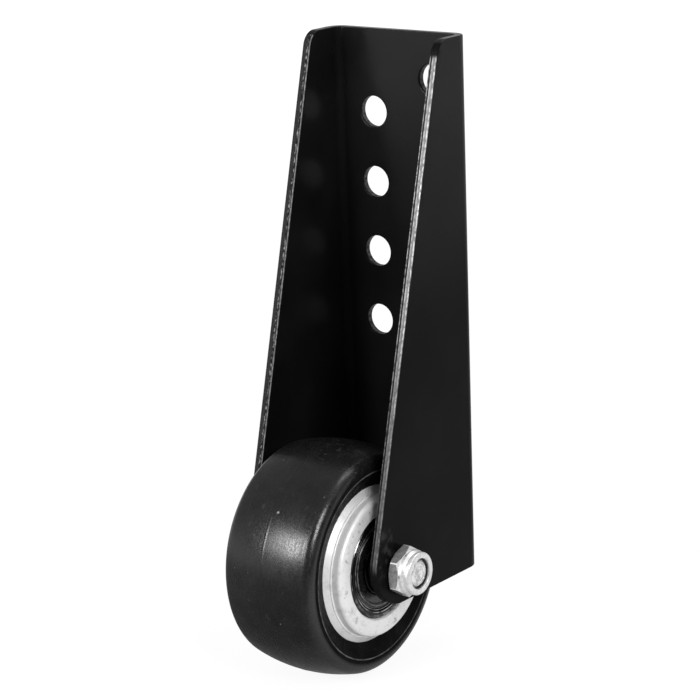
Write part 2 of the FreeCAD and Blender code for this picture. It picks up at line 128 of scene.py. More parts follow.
def mixColour(share, first, second):
    node = share.id_data.nodes.new("ShaderNodeMix")
    node.data_type = "RGBA"
    for index, value in ((0, share), (6, first), (7, second)):
        wire(node.inputs[index], value)
    return node.outputs[2]


def ease(value, low, high, atLow=0.0, atHigh=1.0):  # smooth step from one value to the other
    node = value.id_data.nodes.new("ShaderNodeMapRange")
    node.interpolation_type = "SMOOTHSTEP"
    for index, number in enumerate((value, low, high, atLow, atHigh)):
        wire(node.inputs[index], number)
    return node.outputs[0]


def between(value, rise, fall):  # 1 inside a band, with soft ends
    return times(ease(value, *rise), ease(value, *fall))


def framePlace(tree, stretch=(1, 1, 1)):  # metres in the part's own frame
    return vectorCalc("MULTIPLY", tree.nodes.new("ShaderNodeTexCoord").outputs["Object"], stretch)


def coordinates(place):
    node = place.id_data.nodes.new("ShaderNodeSeparateXYZ")
    wire(node.inputs[0], place)
    return node.outputs


def axlePlace(tree, stretch=(1, 1, 1)):  # along the axle, round it, and out from it; the seam faces the web
    along, back, up = coordinates(vectorCalc("SUBTRACT", framePlace(tree), tuple(axle)))
    turned = calc("ARCTAN2", up, times(back, -1.0))
    out = calc("SQRT", plus(times(back, back), times(up, up)))
    joined = tree.nodes.new("ShaderNodeCombineXYZ")
    for index, value in enumerate((along, turned, out)):
        wire(joined.inputs[index], times(value, stretch[index]))
    return joined.outputs[0], out


def cloud(place, scale, detail=3.0, rough=0.5):
    node = place.id_data.nodes.new("ShaderNodeTexNoise")
    for name, value in (("Vector", place), ("Scale", scale), ("Detail", detail), ("Roughness", rough)):
        wire(node.inputs[name], value)
    return node.outputs["Fac"]


def patches(place, texture, window):  # a cloud, eased through a window
    return ease(cloud(place, *texture), *window)


def specks(place, scale, size, share):  # small round spots in some of the cells
    nodes = place.id_data.nodes
    cells, split = nodes.new("ShaderNodeTexVoronoi"), nodes.new("ShaderNodeSeparateColor")
    wire(cells.inputs["Vector"], place)
    wire(cells.inputs["Scale"], scale)
    wire(split.inputs[0], cells.outputs["Color"])
    chosen = calc("LESS_THAN", split.outputs[0], share)
    reach = times(split.outputs[1], size)
    return times(ease(cells.outputs["Distance"], reach, times(reach, 0.5)), chosen)


def near(place, spot, reach):  # 1 at a spot of the part, fading to 0
    return ease(vectorCalc("DISTANCE", place, spot), reach, 0.4 * reach)


def paintedHighlightLines(out, radii, half):  # painted highlights: thin broken light lines round the axle
    breakMask = patches(framePlace(out.id_data), (260.0,), (0.35, 0.65))
    gaps = [calc("ABSOLUTE", calc("SUBTRACT", out, radius)) for radius in radii]
    return times(greatest([ease(gap, half, 0.5 * half) for gap in gaps]), breakMask)


def bump(shader, height, depth, strength, under=None):
    node = shader.id_data.nodes.new("ShaderNodeBump")
    wire(node.inputs["Strength"], strength)
    wire(node.inputs["Distance"], depth)
    wire(node.inputs["Height"], height)
    if under is not None:
        wire(node.inputs["Normal"], under)
    wire(shader.inputs["Normal"], node.outputs[0])
    return node.outputs[0]


# finishes; a cloud is given by scale, detail and roughness, patches by a cloud and its window,
# specks by scale, size and share, a spot by its place and reach, and relief by depth and strength

coatLook = {
    "shade": ((30.0,), middle),
    "dark": (0.0045, 0.0045, 0.0047, 1),
    "light": (0.0075, 0.0075, 0.0077, 1),
    "paintedShadeByHeight": (0.0, 0.1, 0.03, 0.27),  # reflection dimmed towards the foot: painted shade
    "paintedShadeOnLeft": (-0.0255, -0.022, 0.5, 1.0),  # and dimmed on the left flange: painted shade
    "scuff": ((260.0, 4.0), (0.45, 0.7)),
    "scuffSpot": ((0.0284, -0.06, -0.074), 0.012),
    "scuffColour": grey(0.03),
    "dust": (110.0, 0.05, 0.08),
    "topDust": (560.0, 0.3, 0.5),
    "topDustSpot": ((-0.017, -0.011, 0.088), 0.0125),
    "dustCover": 0.5,
    "dustColour": (0.2, 0.2, 0.19, 1),
    "roughness": ((90.0, 4.0), (0.25, 0.75, 0.2, 0.27)),
    "peel": (420.0, 2.0),
    "peelRelief": (0.00002, 0.3),
    "grain": (2600.0, 1.0),
    "grainRelief": (0.000006, 0.3),
}


def blackCoatFinish(look):  # powder coat: faint orange peel, dust near the top, a scuff by the nut
    finish, tree, shader = startFinish("black_powder_coat")
    place = framePlace(tree)
    aside, _, height = coordinates(place)
    # painted shade: the coat's specular level is lowered towards the foot and on the left flange
    shine = times(ease(height, *look["paintedShadeByHeight"]), ease(aside, *look["paintedShadeOnLeft"]))
    colour = mixColour(patches(place, *look["shade"]), look["dark"], look["light"])
    scuff = times(patches(place, *look["scuff"]), near(place, *look["scuffSpot"]))
    colour = mixColour(scuff, colour, look["scuffColour"])
    topDust = times(specks(place, *look["topDust"]), near(place, *look["topDustSpot"]))
    dust = times(plus(specks(place, *look["dust"]), topDust), look["dustCover"])
    colour = mixColour(dust, colour, look["dustColour"])
    setSockets(shader, colour=colour, roughness=patches(place, *look["roughness"]), specular=shine)
    peel = bump(shader, cloud(place, *look["peel"]), *look["peelRelief"])
    bump(shader, cloud(place, *look["grain"]), *look["grainRelief"], peel)
    return finish


edgeLook = {
    "coat": grey(0.005),
    "metal": grey(0.5),
    "specular": 0.06,
    "streaks": (1500.0, 4.0, 0.65),
    "streakStretch": (1.0, 0.5, 0.5),
    "uneven": (500.0, 3.0),
    "unevenStretch": (1.0, 0.6, 0.4),
    "wander": 0.07,  # how far a band strays, as a share of the sheet
    "bandBlur": 0.04,
    "streakBlur": 0.1,
    "fade": (-0.065, 0.04),  # heights between which a band dims towards the foot
    "roughness": (*middle, 0.4, 0.55),
    "relief": (0.00006, 0.5),
}

# the axis across the sheet, and its ends; the heights where bare metal starts and stops; and its bands:
# from, to, least and most metal, how broken, and the share left at the foot
cutEdges = {
    "cut_edge_worn": {
        "across": (0, 0.0254, 0.0284),
        "heights": ((-0.082, -0.076), (0.0903, 0.0883)),
        "bands": ((0.03, 0.18, 0.05, 0.75, 0.48, 0.2), (0.37, 0.96, 0.3, 0.46, 0.5, 0.4),
                  (0.41, 0.52, 0.35, 0.85, 0.47, 0.4), (0.76, 0.94, 0.3, 0.95, 0.48, 0.4)),
    },
    "cut_edge_coated": {
        "across": (0, -0.0254, -0.0284),
        "heights": ((-0.082, -0.076), (1.001, 0.999)),
        "bands": ((0.42, 1.1, 0.025, 0.045, 0.5, 1), (0.2, 0.42, 0.0, 0.5, 0.55, 1),
                  (-0.1, 0.09, 0.25, 0.65, 0.5, 1)),
    },
    "punched_edge": {
        "across": (1, -0.003, 0.0),
        "heights": ((-1.003, -0.997), (1.001, 0.999)),
        "bands": ((0.25, 1.1, 0.06, 0.24, 0.5, 1),),
    },
}


def cutEdgeFinish(name, edge, look):  # sheared edge: bare metal in bands across the sheet
    finish, tree, shader = startFinish(name, specular=look["specular"])
    split = coordinates(framePlace(tree))
    streaks = cloud(framePlace(tree, look["streakStretch"]), *look["streaks"])
    uneven = cloud(framePlace(tree, look["unevenStretch"]), *look["uneven"])
    axis, start, end = edge["across"]
    share = calc("DIVIDE", calc("SUBTRACT", split[axis], start), end - start)
    share = plus(share, times(calc("SUBTRACT", uneven, 0.5), look["wander"]))
    blur, streakBlur = look["bandBlur"], look["streakBlur"]
    bands = []
    for low, high, least, most, broken, atFoot in edge["bands"]:
        band = between(share, (low - blur, low + blur), (high + blur, high - blur))
        band = times(band, ease(streaks, broken - streakBlur, broken + streakBlur, least, most))
        if atFoot < 1:
            band = times(band, ease(split[2], *look["fade"], atFoot, 1.0))
        bands.append(band)
    bare = times(greatest(bands), between(split[2], *edge["heights"]))
    colour = mixColour(bare, look["coat"], look["metal"])
    setSockets(shader, colour=colour, roughness=ease(uneven, *look["roughness"]), metallic=bare)
    bump(shader, streaks, *look["relief"])
    return finish


treadLook = {
    "mottle": ((160.0, 4.0), middle),
    "dark": (0.006, 0.006, 0.0062, 1),
    "light": (0.010, 0.010, 0.0102, 1),
    "rolled": (1300.0, 7.0, 300.0),  # along the axle, round it and out from it
    "lines": (1.4, 5.0, 0.7),
    "lineRelief": (0.00003, 0.45),
    "grain": (1500.0, 4.0, 0.65),
    "grainRelief": (0.00003, 0.7),
    "scuff": ((520.0, 5.0, 0.7), (0.6, 0.72)),
    "scuffStretch": (1.0, 0.45, 0.3),
    "scuffCover": 0.35,
    "scuffColour": grey(0.045),
    "scuffWear": 0.4,
    "scrape": ((900.0, 4.0, 0.7), (0.58, 0.68)),
    "scrapeStretch": (0.4, 1.0, 1.0),
    "scrapeSpot": ((0.004, -0.0505, -0.042), 0.012),
    "scrapeColour": grey(0.09),
    "dust": (330.0, 0.14, 0.16),
    "dustCover": 0.3,
    "lipLine": ((0.0330, 0.0332), (0.0336, 0.0334)),  # moulding line, by distance from the axle, lightened: painted highlight
    "lipHighlight": ((300.0,), (*middle, 0.15, 0.45)),
    "nickSpot": ((0.002, -0.0811, -0.0577), 0.0007),
    "chalkAndHighlightColour": (0.3, 0.3, 0.29, 1),
    "sideShine": (0.0345, 0.0362, 0.003, 0.8),  # dish all but without reflection: painted shade; shoulder made shinier: painted highlight
    "faceStart": (0.0382, 0.0392),
    "faceShine": 0.5,
    "roughness": (0.7, 1.4, 0.2, 0.42),
}


def treadFinish(look):  # moulded rubber: rolled smooth, scuffed, with a chalky nick
    finish, tree, shader = startFinish("tread_rubber")
    place = framePlace(tree)
    rolled, out = axlePlace(tree, look["rolled"])
    lines = cloud(rolled, *look["lines"])
    grain = cloud(place, *look["grain"])
    scuff = patches(framePlace(tree, look["scuffStretch"]), *look["scuff"])
    colour = mixColour(patches(place, *look["mottle"]), look["dark"], look["light"])
    colour = mixColour(times(scuff, look["scuffCover"]), colour, look["scuffColour"])
    scrape = patches(framePlace(tree, look["scrapeStretch"]), *look["scrape"])
    scrape = times(scrape, near(place, *look["scrapeSpot"]))
    colour = mixColour(scrape, colour, look["scrapeColour"])
    dust = times(specks(place, *look["dust"]), look["dustCover"])
    # painted highlight along the lip's moulding line; dust and the nick share its pale colour
    lip = times(between(out, *look["lipLine"]), patches(place, *look["lipHighlight"]))
    chalkAndHighlight = greatest([dust, lip, near(place, *look["nickSpot"])])
    colour = mixColour(chalkAndHighlight, colour, look["chalkAndHighlightColour"])
    # painted shade in the dish and painted highlight on the shoulder, through the specular level
    shine = ease(out, *look["faceStart"], ease(out, *look["sideShine"]), look["faceShine"])
    wear = plus(plus(lines, grain), times(scuff, look["scuffWear"]))
    setSockets(shader, colour=colour, roughness=ease(wear, *look["roughness"]), specular=shine)
    fine = bump(shader, grain, *look["grainRelief"])
    bump(shader, calc("SUBTRACT", lines, scuff), *look["lineRelief"], fine)
    return finish


hubLook = {
    "metallic": 0.32,
    "rings": (900.0, 0.35, 2600.0),
    "turned": (1.0, 2.0),
    "turnedRelief": (0.000012, 0.6),
    "smear": ((210.0, 5.0, 0.65), (0.5, 0.72)),
    "pale": grey(0.95),
    "smeared": (0.78, 0.78, 0.775, 1),
    "pits": ((480.0, 5.0, 0.75), (0.54, 0.68)),
    "pitRing": ((0.0200, 0.0214), (0.0240, 0.0225)),  # by distance from the axle
    "pitCover": (0.0, 1.0, 0.2, 0.7),  # off the ring and on it
    "pitColour": (0.25, 0.25, 0.24, 1),
    "pitDepth": -1.5,
    "cast": (600.0, 4.0),
    "castRelief": (0.00003, 0.4),
    "roughness": (0.3, 1.6, 0.4, 0.54),
}


def hubFinish(look):  # blasted aluminium casting: fine turned rings, smears, and pits round the boss
    finish, tree, shader = startFinish("hub_aluminium", metallic=look["metallic"])
    place = framePlace(tree)
    rings, out = axlePlace(tree, look["rings"])
    turned = cloud(rings, *look["turned"])
    smear = patches(place, *look["smear"])
    cover = ease(between(out, *look["pitRing"]), *look["pitCover"])
    pits = times(patches(place, *look["pits"]), cover)
    colour = mixColour(smear, look["pale"], look["smeared"])
    colour = mixColour(pits, colour, look["pitColour"])
    setSockets(shader, colour=colour, roughness=ease(plus(turned, smear), *look["roughness"]))
    fine = bump(shader, turned, *look["turnedRelief"])
    cast = plus(cloud(place, *look["cast"]), times(pits, look["pitDepth"]))
    bump(shader, cast, *look["castRelief"], fine)
    return finish


zincLook = {
    "metallic": 0.6,
    "mottle": ((900.0, 4.0, 0.65), middle),
    "stain": ((650.0, 4.0, 0.65), (0.48, 0.6)),
    "stainColour": (0.2, 0.2, 0.195, 1),
    "roughness": (0.0, 1.0, 0.44, 0.34),
    "grain": (800.0, 3.0),
    "relief": (0.00002, 0.15),
}


def zincFinish(name, look, dull, bright, stained):  # zinc plate with a fine mottle
    finish, tree, shader = startFinish(name, metallic=look["metallic"])
    place = framePlace(tree)
    mottle = patches(place, *look["mottle"])
    stain = times(patches(place, *look["stain"]), stained)
    colour = mixColour(mottle, grey(dull), grey(bright))
    colour = mixColour(stain, colour, look["stainColour"])
    setSockets(shader, colour=colour, roughness=ease(mottle, *look["roughness"]))
    bump(shader, cloud(place, *look["grain"]), *look["relief"])
    return finish


boltEndLook = {
    "metallic": 0.7,
    "rings": (1.0, 0.6, 1100.0),
    "turned": (1.0, 3.0, 0.6),
    "relief": (0.00007, 0.5),
    "blotch": (420.0, 3.0),
    "shade": (0.85, 1.15),
    "dull": grey(0.55),
    "bright": grey(0.98),
    "roughness": (*middle, 0.2, 0.4),
}


def boltEndFinish(look):  # sawn end, rubbed bright in rings
    finish, tree, shader = startFinish("bolt_end", metallic=look["metallic"])
    turned = cloud(axlePlace(tree, look["rings"])[0], *look["turned"])
    shade = ease(plus(turned, cloud(framePlace(tree), *look["blotch"])), *look["shade"])
    colour = mixColour(shade, look["dull"], look["bright"])
    setSockets(shader, colour=colour, roughness=ease(turned, *look["roughness"]))
    bump(shader, turned, *look["relief"])
    return finish


steelLook = {
    "rings": (1500.0, 0.3, 3200.0),
    "turned": (1.0, 2.0),
    "relief": (0.00001, 0.5),
    "dullShare": 0.72,
    "lineHalf": 0.0002,
    "highlightColour": grey(0.55),
    "window": (0.2, 0.8),
    "spread": (-0.06, 0.08),  # of the roughness
}


def steelFinish(name, look, colour, roughness, metallic=1.0, bright=()):  # turned, with painted highlights in light lines at some radii
    finish, tree, shader = startFinish(name, metallic=metallic)
    rings, out = axlePlace(tree, look["rings"])
    turned = cloud(rings, *look["turned"])
    shade = mixColour(turned, (*(look["dullShare"] * part for part in colour), 1), (*colour, 1))
    if bright:
        shade = mixColour(paintedHighlightLines(out, bright, look["lineHalf"]), shade, look["highlightColour"])
    levels = [roughness + change for change in look["spread"]]
    setSockets(shader, colour=shade, roughness=ease(turned, *look["window"], *levels))
    bump(shader, turned, *look["relief"])
    return finish


softLook = {
    "specular": 0.6,
    "mottle": (500.0, 4.0),
    "lightShare": 1.8,
    "lineHalf": 0.00022,
    "highlightColour": grey(0.22),
    "spread": (-0.05, 0.05),
    "grain": (1800.0, 2.0),
    "relief": (0.00001, 0.5),
}


def softFinish(name, look, colour, roughness, bright=()):  # black rubber or nylon, with painted highlights in light lines at some radii
    finish, tree, shader = startFinish(name, specular=look["specular"])
    place = framePlace(tree)
    mottle = cloud(place, *look["mottle"])
    shade = mixColour(mottle, (*colour, 1), (*(look["lightShare"] * part for part in colour), 1))
    if bright:
        shade = mixColour(paintedHighlightLines(axlePlace(tree)[1], bright, look["lineHalf"]), shade, look["highlightColour"])
    levels = [roughness + change for change in look["spread"]]
    setSockets(shader, colour=shade, roughness=ease(mottle, *middle, *levels))
    bump(shader, cloud(place, *look["grain"]), *look["relief"])
    return finish


ringHighlightRadii = (0.0163, 0.0173, 0.0179)  # painted highlights in light lines on a bearing's outer ring
ribHighlightRadii = (0.0133, 0.0141, 0.0154)  # and on its seal
blackCoat = blackCoatFinish(coatLook)
rightEdge, leftEdge, holeEdge = (cutEdgeFinish(name, edge, edgeLook) for name, edge in cutEdges.items())
treadRubber = treadFinish(treadLook)
hubAluminium = hubFinish(hubLook)
zincPlate = zincFinish("zinc_plate", zincLook, dull=0.78, bright=0.95, stained=0.12)
zincFlatsPaintedShade = zincFinish("zinc_flats_painted_shade", zincLook, dull=0.27, bright=0.47, stained=0.6)  # the nut's flats: a darker copy of the plate, painted shade, with heavier stain
boltEnd = boltEndFinish(boltEndLook)
# the rings' and cage's near-black base colour is painted shade
bearingSteel = steelFinish("bearing_steel", steelLook, (0.05, 0.05, 0.051), 0.2, bright=ringHighlightRadii)
ballSteel = steelFinish("ball_steel", steelLook, (0.8, 0.8, 0.81), 0.12)
# near black and not metallic
nearBlackSteel = steelFinish("blackened_steel", steelLook, (0.012, 0.012, 0.013), 0.45, metallic=0.0)
sealRubber = softFinish("seal_rubber", softLook, (0.006, 0.006, 0.006), 0.24, ribHighlightRadii)
insertNylon = softFinish("insert_nylon", softLook, (0.012, 0.012, 0.013), 0.45)
print("finishes ready")


# meshes; a shape is its points and faces

def addObject(name, data):
    added = bpy.data.objects.new(name, data)
    bpy.context.scene.collection.objects.link(added)
    return added


def makePiece(name, shape, finishes, body, node):
    points, faces = shape
    mesh = bpy.data.meshes.new(name)
    mesh.from_pydata(points, [], faces)
    build = bmesh.new()
    build.from_mesh(mesh)
    bmesh.ops.remove_doubles(build, verts=build.verts, dist=1e-7)
    bmesh.ops.recalc_face_normals(build, faces=build.faces)
    for face in build.faces:
        face.smooth = True
    build.to_mesh(mesh)
    build.free()
    for finish in finishes:
        mesh.materials.append(finish)
    piece = addObject(name, mesh)
    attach(piece, body)
    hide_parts(node)
    return piece


def arcBetween(centre, first, last, steps):  # points on a circle from one arm to the other
    sweep = first.angle_signed(last)
    return [centre + Matrix.Rotation(-sweep * step / steps, 2) @ first for step in range(steps + 1)]


def roundCorners(corners, steps=4, closed=True):  # corners are (along, out, radius)
    path = []
    for index, (along, out, radius) in enumerate(corners):
        here = Vector((along, out))
        if not radius or (not closed and index in (0, len(corners) - 1)):
            path.append(here)
            continue
        toLast = (Vector(corners[index - 1][:2]) - here).normalized()
        toNext = (Vector(corners[(index + 1) % len(corners)][:2]) - here).normalized()
        half = toLast.angle(toNext) / 2
        centre = here + (toLast + toNext).normalized() * radius / math.sin(half)
        reach = radius / math.tan(half)
        path += arcBetween(centre, here + toLast * reach - centre, here + toNext * reach - centre, steps)
    return path


def skin(rings, closed=False):  # joins rings that have as many points each
    count = len(rings[0])
    points = [point for ring in rings for point in ring]
    faces = []
    for level in range(len(rings) if closed else len(rings) - 1):
        here, above = level * count, (level + 1) % len(rings) * count
        for index in range(count):
            following = (index + 1) % count
            faces.append((here + index, here + following, above + following, above + index))
    return points, faces


def lathe(profile, turns):  # turns a closed profile of (along, out) round the axle
    rings = []
    for turn in range(turns):
        angle = 2 * math.pi * turn / turns
        aside, up = math.cos(angle), math.sin(angle)
        rings.append([(along, axle.y - out * aside, axle.z + out * up) for along, out in profile])
    return skin(rings, closed=True)


def mirrored(corners, side):
    return [(side * along, out, radius) for along, out, radius in corners]


# bracket: one folded sheet, laid out flat, then bent

bracketSheet = {
    "sheet": 3 * mm,
    "insideBend": 2.5 * mm,
    "topDepth": 18 * mm,
    "topCorner": 6 * mm,
    "footDepth": 66.4 * mm,
    "footCorner": 14.5 * mm,
    "cornerSteps": 24,
    "axleHole": 5.25 * mm,
    "edgeRound": 0.35 * mm,
    "roundSteps": 3,
    "cutRows": 3,
    "cutRoughness": 0.035 * mm,
    "cutSink": 0.8,  # keeps the rough face inside the outline
    "cutGrain": (500, 60, 1800),  # along the flat sheet, up it and through it
    "outlineStep": 1.2 * mm,
    "gridStep": 6 * mm,
    "gridClear": 0.8 * mm,
    "bendSteps": 12,
    "holePoints": 56,
    "frontLean": 0.6,  # an edge that faces forward more than this is worn
}


def flatPattern(sizes):
    low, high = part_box("bracket")
    outsideBend = sizes["insideBend"] + sizes["sheet"]
    pattern = {
        "top": high.z,
        "foot": low.z,
        "outsideBend": outsideBend,
        "flatHalf": high.x - outsideBend,
        "bendRun": (outsideBend - sizes["sheet"] / 2) * math.pi / 2,
    }
    pattern["flangeStart"] = pattern["flatHalf"] + pattern["bendRun"]
    return pattern


def foldSheet(pattern, along, height, depth):  # depth is counted from the outer skin inwards
    side = 1 if along >= 0 else -1
    run = abs(along)
    if run <= pattern["flatHalf"]:
        return Vector((along, -depth, height))
    turned = min((run - pattern["flatHalf"]) / pattern["bendRun"], 1) * math.pi / 2
    radius = pattern["outsideBend"] - depth
    forward = max(run - pattern["flangeStart"], 0)
    return Vector((side * (pattern["flatHalf"] + radius * math.sin(turned)),
                   -pattern["outsideBend"] + radius * math.cos(turned) - forward, height))


def divide(path, step):  # shortens long runs
    points = []
    for start, end in zip(path, path[1:]):
        count = max(1, math.ceil((end - start).length / step))
        points += [start.lerp(end, index / count) for index in range(count)]
    return points + [path[-1]]


def flangeOutline(sizes, pattern):  # (depth from the back face, height), from the foot up
    bend, foot, top = pattern["outsideBend"], pattern["foot"], pattern["top"]
    corners = [(bend, foot, 0), (sizes["footDepth"], foot, sizes["footCorner"]),
               (sizes["topDepth"], top, sizes["topCorner"]), (bend, top, 0)]
    return roundCorners(corners, sizes["cornerSteps"], False)


def sheetLoops(sizes, pattern):  # outline and holes in the flat, each with its points in order
    shift = pattern["flangeStart"] - pattern["outsideBend"]
    right = [Vector((depth + shift, height)) for depth, height in flangeOutline(sizes, pattern)]
    left = [Vector((-along, height)) for along, height in reversed(right)]
    loops = [divide(right + left + right[:1], sizes["outlineStep"])[:-1]]
    centres = [(side * (shift - axle.y), axle.z, sizes["axleHole"]) for side in (1, -1)]
    for mount in frame["record"]["mounts"]:
        if mount["kind"] == "bolt_pattern":
            along, _, height = mount["pos_m"]
            half = mount["dims"]["spacing_y_mm"] * mm / 2
            centres += [(along, height + sign * half, mount["dims"]["hole_r_mm"] * mm) for sign in (1, -1)]
    angles = [-2 * math.pi * index / sizes["holePoints"] for index in range(sizes["holePoints"])]
    for along, height, radius in centres:
        loops.append([Vector((along + radius * math.cos(angle), height + radius * math.sin(angle)))
                      for angle in angles])
    return loops


def loopNormals(loop):  # away from the metal
    normals = []
    for index in range(len(loop)):
        tangent = loop[(index + 1) % len(loop)] - loop[index - 1]
        normals.append(Vector((tangent.y, -tangent.x)).normalized())
    return normals


def inLoop(loop, point):
    inside = False
    for first, second in zip(loop, loop[1:] + loop[:1]):
        if (first.y > point.y) != (second.y > point.y):
            if point.x < first.x + (point.y - first.y) * (second.x - first.x) / (second.y - first.y):
                inside = not inside
    return inside


def inSheet(loops, point):  # inside the outline and outside the holes
    return inLoop(loops[0], point) and not any(inLoop(hole, point) for hole in loops[1:])


def gridPoints(sizes, pattern, loops):  # columns of points inside the sheet, closer over the bends
    step, bends = sizes["gridStep"], sizes["bendSteps"]
    flatHalf, start = pattern["flatHalf"], pattern["flangeStart"]
    flat = math.ceil(flatHalf / step)
    reach = max(point.x for point in loops[0]) - start
    flange = math.ceil(reach / step)
    columns = [flatHalf * index / flat for index in range(flat + 1)]
    columns += [flatHalf + pattern["bendRun"] * index / bends for index in range(1, bends + 1)]
    columns += [start + reach * index / flange for index in range(1, flange)]
    tall = pattern["top"] - pattern["foot"]
    rows = math.ceil(tall / step) + 2
    points = []
    for column in columns:
        for side in ((1, -1) if column else (1,)):
            for row in range(rows + 1):
                height = pattern["foot"] - 2 * step + (tall + 2 * step) * row / rows
                point = Vector((side * column, height))
                if inSheet(loops, point):
                    if min((point - corner).length for loop in loops for corner in loop) > sizes["gridClear"]:
                        points.append(point)
    return points


def fillSheet(sizes, pattern, loops):  # corners and triangles of the flat skin
    points = [point for loop in loops for point in loop]
    borders = []
    start = 0
    for loop in loops:
        borders += [(start + index, start + (index + 1) % len(loop)) for index in range(len(loop))]
        start += len(loop)
    points += gridPoints(sizes, pattern, loops)
    filled = geometry.delaunay_2d_cdt(points, borders, [], 1, 1e-9)
    corners = filled[0]
    inside = []
    for face in filled[2]:
        centre = sum((corners[index] for index in face), Vector((0, 0))) / len(face)
        if inSheet(loops, centre):
            inside.append(face)
    return corners, inside


def edgeSection(sizes):  # (inset, depth) round the edge from the outer skin to the inner one
    radius, sheet, steps, cuts = (sizes[name] for name in ("edgeRound", "sheet", "roundSteps", "cutRows"))
    angles = [math.pi / 2 * step / steps for step in range(steps + 1)]
    first = [(radius * (1 - math.sin(angle)), radius * (1 - math.cos(angle))) for angle in angles]
    last = [(inset, sheet - depth) for inset, depth in reversed(first)]
    rows = [(0, radius + (sheet - 2 * radius) * row / (cuts + 1)) for row in range(1, cuts + 1)]
    return first + rows + last


def cutRough(sizes, point, inset, depth):  # unevenness of the cut face between its rounded edges
    if inset or not sizes["edgeRound"] < depth < sizes["sheet"] - sizes["edgeRound"]:
        return 0
    along, up, through = sizes["cutGrain"]
    grain = noise.noise(Vector((point.x * along, point.y * up, depth * through)))
    return sizes["cutRoughness"] * (grain - sizes["cutSink"])


def makeBracket(sizes):
    pattern = flatPattern(sizes)
    loops = sheetLoops(sizes, pattern)
    normals = [loopNormals(loop) for loop in loops]
    skinLoops = [[point - normal * sizes["edgeRound"] for point, normal in zip(*pair)]
                 for pair in zip(loops, normals)]
    corners, inside = fillSheet(sizes, pattern, skinLoops)
    count = len(corners)
    points = [foldSheet(pattern, *corner, depth) for depth in (0, sizes["sheet"]) for corner in corners]
    faces = [tuple(face) for face in inside]
    faces += [tuple(count + index for index in reversed(face)) for face in inside]
    coat, right, left, hole = range(4)  # the order of the finishes
    kinds = [coat] * len(faces)
    frontLimit = pattern["flangeStart"] - pattern["outsideBend"]
    section = edgeSection(sizes)
    rows = len(section)
    bareRows = range(2, rows - 3)  # inside a hole, away from its coated rims
    for order, (loop, loopNormal) in enumerate(zip(loops, normals)):
        first = len(points)
        for point, normal in zip(loop, loopNormal):
            for inset, depth in section:
                flat = point + normal * (cutRough(sizes, point, inset, depth) - inset)
                points.append(foldSheet(pattern, *flat, depth))
        for index, (point, normal) in enumerate(zip(loop, loopNormal)):
            here, after = first + index * rows, first + (index + 1) % len(loop) * rows
            kind = hole if order > 0 else coat
            if kind == coat and abs(normal.x) > sizes["frontLean"] and abs(point.x) > frontLimit:
                kind = right if point.x > 0 else left
            for row in range(rows - 1):
                faces.append((here + row, here + row + 1, after + row + 1, after + row))
                kinds.append(kind if kind != hole or row in bareRows else coat)
    finishes = [blackCoat, rightEdge, leftEdge, holeEdge]
    piece = makePiece("folded_bracket", (points, faces), finishes, "bracket", "bracket")
    for polygon, kind in zip(piece.data.polygons, kinds):
        polygon.material_index = kind
    even = piece.modifiers.new("even_faces", "WEIGHTED_NORMAL")
    even.weight = 100
    return piece


bracketPiece = makeBracket(bracketSheet)
print("bracket folded:", len(bracketPiece.data.polygons), "faces")


# tread

treadSizes = {
    "crownDrop": 3 * mm,
    "ridgeHeight": 0.05 * mm,
    "ridgeHalf": 0.22 * mm,
    "ridgeShoulder": (0.4, 0.15),  # shares of its half width and height
    "shoulderRadius": 3.8 * mm,
    "lipHeight": 5.6 * mm,
    "lipBead": 0.3 * mm,  # thin moulded line round the lip
    "sideDip": 0.25 * mm,
    "grip": 3 * mm,
    "coreStep": 1.6 * mm,
    "rimFace": 16.2 * mm,
    "crownPoints": 30,
    "shoulderPoints": 16,
    "turns": 320,
}


def makeTread(sizes):
    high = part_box("tread")[1]
    half, radius = high.x, high.z - axle.z
    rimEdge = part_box("hub")[1].z - axle.z
    arc = (half ** 2 + sizes["crownDrop"] ** 2) / (2 * sizes["crownDrop"])
    shoulder = sizes["shoulderRadius"]
    lean = math.asin((half - shoulder) / (arc - shoulder))
    top = radius - sizes["ridgeHeight"]
    start = sizes["ridgeHalf"] / arc
    wide, deep = sizes["ridgeShoulder"]
    right = [(0, radius), (wide * sizes["ridgeHalf"], radius - deep * sizes["ridgeHeight"])]
    for index in range(sizes["crownPoints"] + 1):
        angle = start + (lean - start) * index / sizes["crownPoints"]
        right.append((arc * math.sin(angle), top - arc * (1 - math.cos(angle))))
    centre = top - arc + (arc - shoulder) * math.cos(lean)
    for index in range(1, sizes["shoulderPoints"] + 1):
        angle = lean + (math.pi / 2 - lean) * index / sizes["shoulderPoints"]
        right.append((half - shoulder + shoulder * math.sin(angle), centre + shoulder * math.cos(angle)))
    lip, bead, dip = rimEdge + sizes["lipHeight"], sizes["lipBead"], half - sizes["sideDip"]
    side = [(half, centre, 0), (dip, lip + 2 * bead, 0), (half, lip + bead, bead), (half, lip - bead, bead),
            (dip, lip - 2 * bead, 0), (sizes["rimFace"], rimEdge, 0)]
    right += [tuple(point) for point in roundCorners(side, closed=False)[1:]]
    inner = sizes["rimFace"] - sizes["grip"]
    right += [(inner, rimEdge), (inner, rimEdge - sizes["coreStep"])]
    left = [(-along, out) for along, out in reversed(right[1:])]
    shape = lathe(right + left, sizes["turns"])
    return makePiece("moulded_tread", shape, [treadRubber], "wheel", "tread")


treadPiece = makeTread(treadSizes)
print("tread moulded:", len(treadPiece.data.polygons), "faces")


# hub

